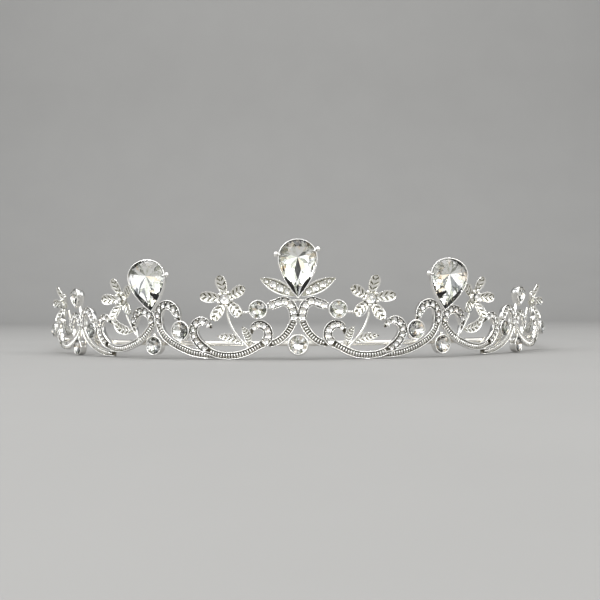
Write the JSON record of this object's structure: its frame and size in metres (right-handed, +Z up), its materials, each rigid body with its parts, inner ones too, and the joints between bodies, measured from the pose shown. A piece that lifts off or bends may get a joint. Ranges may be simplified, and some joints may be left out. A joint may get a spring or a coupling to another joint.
{
  "type": "bridal tiara",
  "caption": "Rigid silver tiara: an open curved headband carrying soldered scrolls, flowers and cup-set crystals, tallest at the front. Worn on the head.",
  "frame": {"origin": "centre of the tiara's plan box, on the surface it stands on", "axes": "+X to the viewer's right across the width, -Y out of the front, +Z up"},
  "size_m": [0.152, 0.1076, 0.0291],
  "materials": {
    "silver": "polished rhodium-coloured plating on cast scrolls and cups",
    "leaf_silver": "polished plating on cast, veined leaves, petals and stems",
    "band_silver": "plain polished flat wire",
    "crystal": "clear faceted glass with a silver foil back",
    "pave_crystal": "small clear round faceted glass with a foil back"
  },
  "bodies": {
    "root": {"centre_bridge": "silver", "centre_drop_crystal": "crystal", "centre_drop_cup": "silver", "centre_pear_crystal": "crystal", "centre_pear_cup": "silver", "headband": "band_silver", "left_centre_leaf": "leaf_silver", "left_end_cup": "silver", "left_far_cup": "silver", "left_far_drop_cup": "silver", "left_far_flower": "leaf_silver", "left_far_hook_scroll": "silver", "left_far_looped_scroll": "silver", "left_far_pear_crystal": "crystal", "left_far_pear_cup": "silver", "left_far_stem": "leaf_silver", "left_flower_crystals": "pave_crystal", "left_front_cup": "silver", "left_front_flower": "leaf_silver", "left_front_scroll": "silver", "left_front_stem": "leaf_silver", "left_heart_scroll": "silver", "left_pave_crystals": "pave_crystal", "left_round_crystals": "crystal", "left_side_cup": "silver", "left_side_drop_cup": "silver", "left_side_flower": "leaf_silver", "left_side_hook_scroll": "silver", "left_side_looped_scroll": "silver", "left_side_pear_crystal": "crystal", "left_side_pear_cup": "silver", "left_side_stem": "leaf_silver", "right_centre_leaf": "leaf_silver", "right_end_cup": "silver", "right_far_cup": "silver", "right_far_drop_cup": "silver", "right_far_flower": "leaf_silver", "right_far_hook_scroll": "silver", "right_far_looped_scroll": "silver", "right_far_pear_crystal": "crystal", "right_far_pear_cup": "silver", "right_far_stem": "leaf_silver", "right_flower_crystals": "pave_crystal", "right_front_cup": "silver", "right_front_flower": "leaf_silver", "right_front_scroll": "silver", "right_front_stem": "leaf_silver", "right_heart_scroll": "silver", "right_pave_crystals": "pave_crystal", "right_round_crystals": "crystal", "right_side_cup": "silver", "right_side_drop_cup": "silver", "right_side_flower": "leaf_silver", "right_side_hook_scroll": "silver", "right_side_looped_scroll": "silver", "right_side_pear_crystal": "crystal", "right_side_pear_cup": "silver", "right_side_stem": "leaf_silver"}
  },
  "joints": []
}
